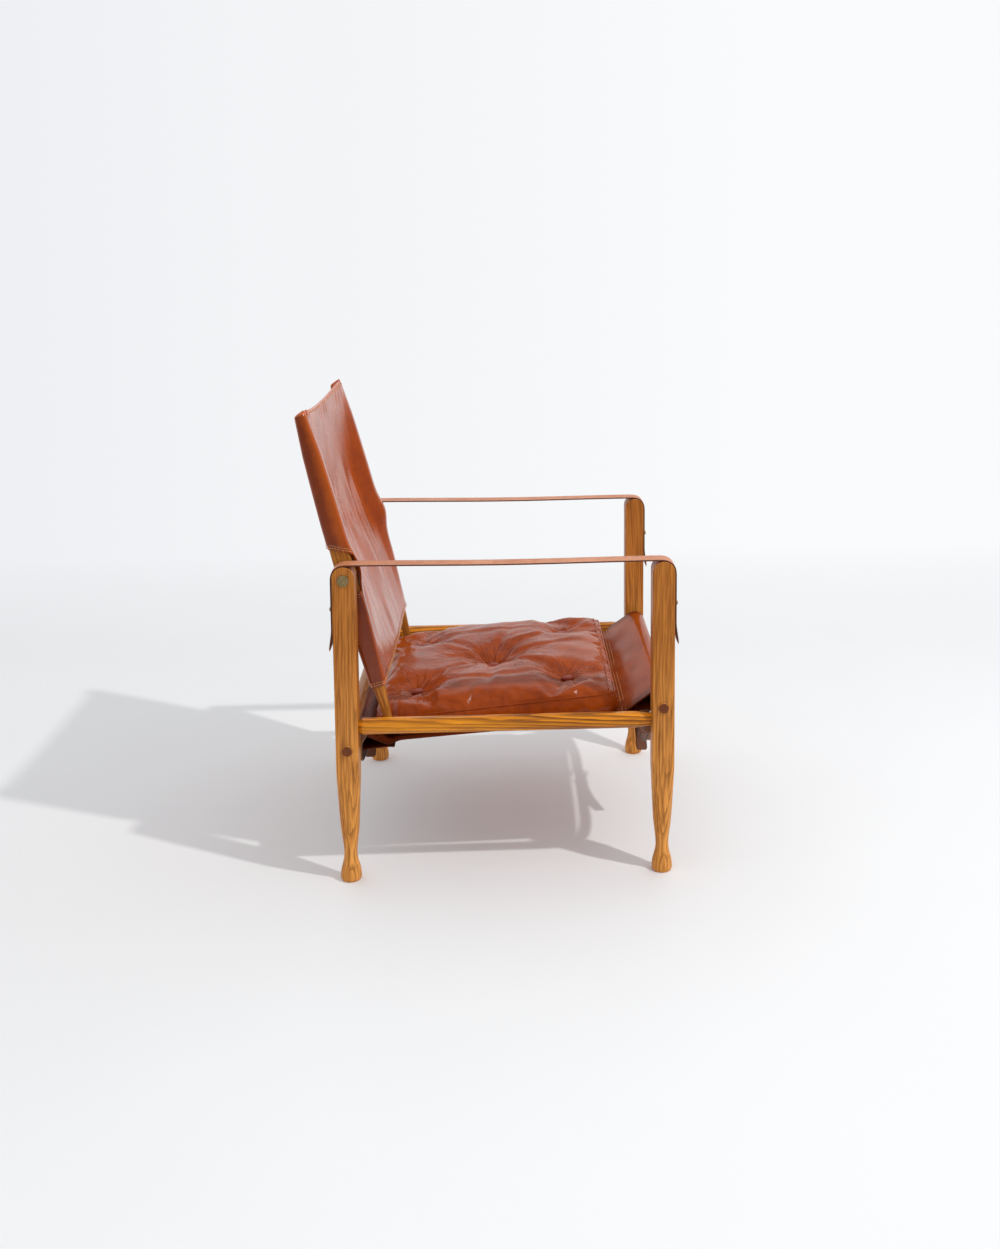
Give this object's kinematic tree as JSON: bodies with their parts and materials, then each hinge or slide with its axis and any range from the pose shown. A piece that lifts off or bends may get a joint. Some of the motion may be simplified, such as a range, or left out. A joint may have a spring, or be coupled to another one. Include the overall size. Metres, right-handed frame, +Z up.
{
  "type": "campaign chair",
  "caption": "Knock-down campaign lounge chair: turned wooden legs and rails, leather sling seat with a tufted cushion, swinging sling back and leather strap arms.",
  "frame": {"origin": "on the floor, under the middle of the chair's bounding box", "axes": "+X towards the sitter's left, -Y the way the sitter faces (the chair's front), +Z up"},
  "size_m": [0.575, 0.6436, 0.8038],
  "materials": {
    "oiled_wood": "oiled, satin, open grain",
    "saddle_leather": "polished saddle leather with pull-up marks",
    "cushion_leather": "supple, semi-gloss",
    "strap_leather": "bridle leather, waxed, dark edges",
    "girth_leather": "dark, waxed",
    "aged_brass": "worn, satin",
    "aged_nickel": "nickel silver, satin, tarnished in the recess"
  },
  "bodies": {
    "frame": {"leg_front_right": "oiled_wood", "leg_front_left": "oiled_wood", "leg_rear_right": "oiled_wood", "leg_rear_left": "oiled_wood", "front_rail": "oiled_wood", "rear_rail": "oiled_wood", "side_rail_right": "oiled_wood", "side_rail_left": "oiled_wood", "seat_sling": "saddle_leather", "seat_cushion": "cushion_leather", "cushion_buttons": "cushion_leather", "arm_strap_right": "strap_leather", "arm_strap_left": "strap_leather", "arm_strap_studs": "aged_brass", "pivot_bolts": "aged_nickel", "pivot_washers": "aged_nickel", "front_girth_buckle_strap": "girth_leather", "front_girth_tongue_strap": "girth_leather", "rear_girth_buckle_strap": "girth_leather", "rear_girth_tongue_strap": "girth_leather", "strap_keepers": "girth_leather", "front_buckle_frame": "aged_brass", "rear_buckle_frame": "aged_brass", "girth_strap_screws": "aged_brass"},
    "back": {"back_post_right": "oiled_wood", "back_post_left": "oiled_wood", "back_leather": "saddle_leather", "pivot_bushes": "aged_brass"},
    "front_prong": {"front_buckle_prong": "aged_brass"},
    "rear_prong": {"rear_buckle_prong": "aged_brass"}
  },
  "joints": [
    {"name": "back_tilt", "type": "hinge", "parent": "frame", "child": "back", "pos_m": [0, 0.24315, 0.531], "axis": [1, 0, 0], "range_deg": [0, 145]},
    {"name": "front_prong_swing", "type": "hinge", "parent": "frame", "child": "front_prong", "pos_m": [0.052, -0.27825, 0.198], "axis": [0, 1, 0], "range_deg": [0, 12]},
    {"name": "rear_prong_swing", "type": "hinge", "parent": "frame", "child": "rear_prong", "pos_m": [0.052, 0.22655, 0.198], "axis": [0, 1, 0], "range_deg": [0, 12]}
  ]
}
